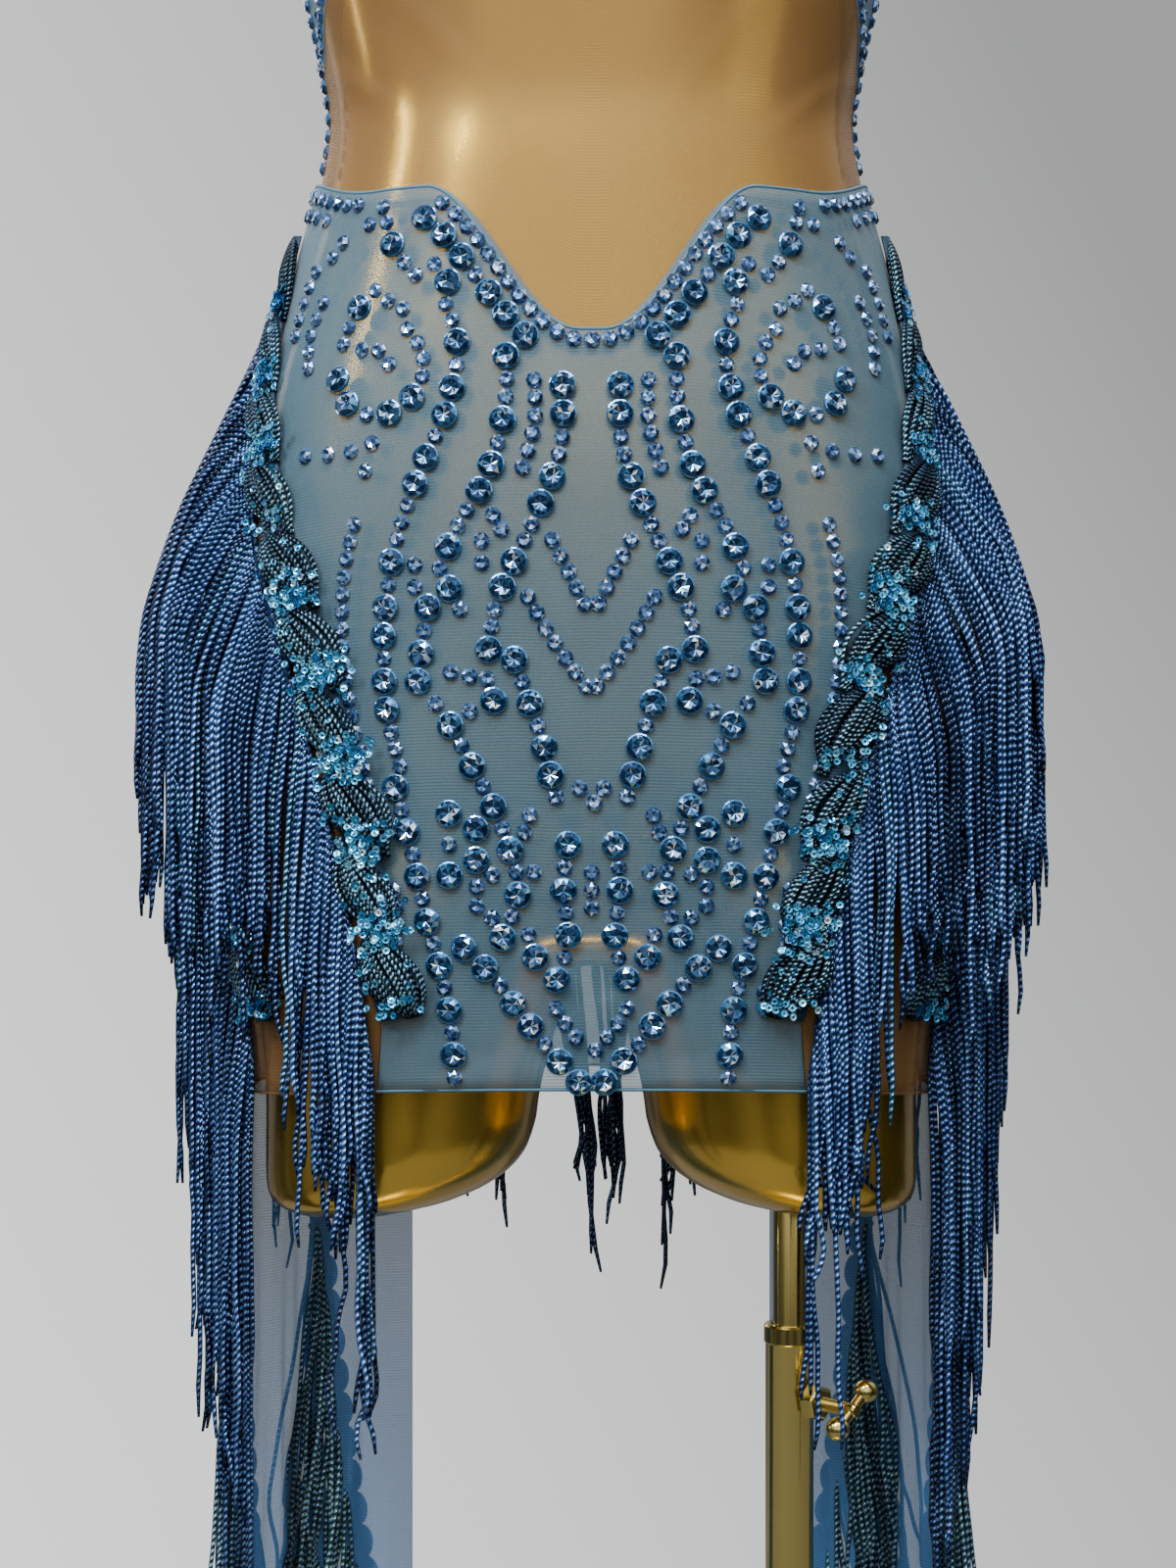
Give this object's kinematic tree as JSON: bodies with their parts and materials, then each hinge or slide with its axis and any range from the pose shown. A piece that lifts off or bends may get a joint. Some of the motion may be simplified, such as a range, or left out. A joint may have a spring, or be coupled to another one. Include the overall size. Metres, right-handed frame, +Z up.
{
  "type": "tassel dress on a dress form with a stand",
  "caption": "Short sheer stage dress with crystal ornament, hip fringes and two long side trains, worn by a limbless dress form on a height-adjustable pole stand.",
  "frame": {"origin": "on the floor, in the base plate's underside, below the centre line of the dress form", "axes": "+Z up, the dress faces -Y, +X is the wearer's left, where the stand's pole enters the thigh"},
  "size_m": [0.4142, 0.35, 1.52],
  "materials": {
    "form_gold": "metallic gold lacquer, glossy",
    "stand_gold": "polished gold plate",
    "blue_mesh": "sheer stretch mesh, dusty blue, with raised crystals on the skirt's front",
    "nude_mesh": "sheer stretch mesh, skin tan",
    "train_chiffon": "thin light blue mesh",
    "fringe_cord": "twisted shiny cord with sequins, denim blue",
    "crystal": "faceted foil-backed stones, aqua and lavender"
  },
  "bodies": {
    "stand": {"stand_base": "stand_gold", "stand_tube": "stand_gold", "stand_clamp_nut": "stand_gold"},
    "dress_form": {"form_torso": "form_gold", "stand_rod": "stand_gold", "skirt_front": "blue_mesh", "skirt_side_left": "nude_mesh", "skirt_side_right": "nude_mesh", "skirt_back": "blue_mesh", "waist_panel": "nude_mesh", "bodice_front": "blue_mesh", "bodice_back": "blue_mesh", "strap_left": "blue_mesh", "strap_right": "blue_mesh", "train_left": "train_chiffon", "train_right": "train_chiffon", "fringe_first_left": "fringe_cord", "fringe_first_right": "fringe_cord", "fringe_second_left": "fringe_cord", "fringe_second_right": "fringe_cord", "fringe_third_left": "fringe_cord", "fringe_third_right": "fringe_cord", "fringe_fourth_left": "fringe_cord", "fringe_fourth_right": "fringe_cord", "fringe_back": "fringe_cord", "train_fringe_side_left": "fringe_cord", "train_fringe_side_right": "fringe_cord", "train_fringe_rear_left": "fringe_cord", "train_fringe_rear_right": "fringe_cord"},
    "clamp_screw": {"stand_clamp_screw": "stand_gold"}
  },
  "joints": [
    {"name": "height", "type": "slide", "parent": "stand", "child": "dress_form", "axis": [0, 0, 1], "range_m": [-0.045, 0.2]},
    {"name": "clamp_turn", "type": "hinge", "parent": "stand", "child": "clamp_screw", "pos_m": [0.091, 0, 0.516], "axis": [0.7071, -0.7071, 0], "range_deg": [0, 450]}
  ]
}
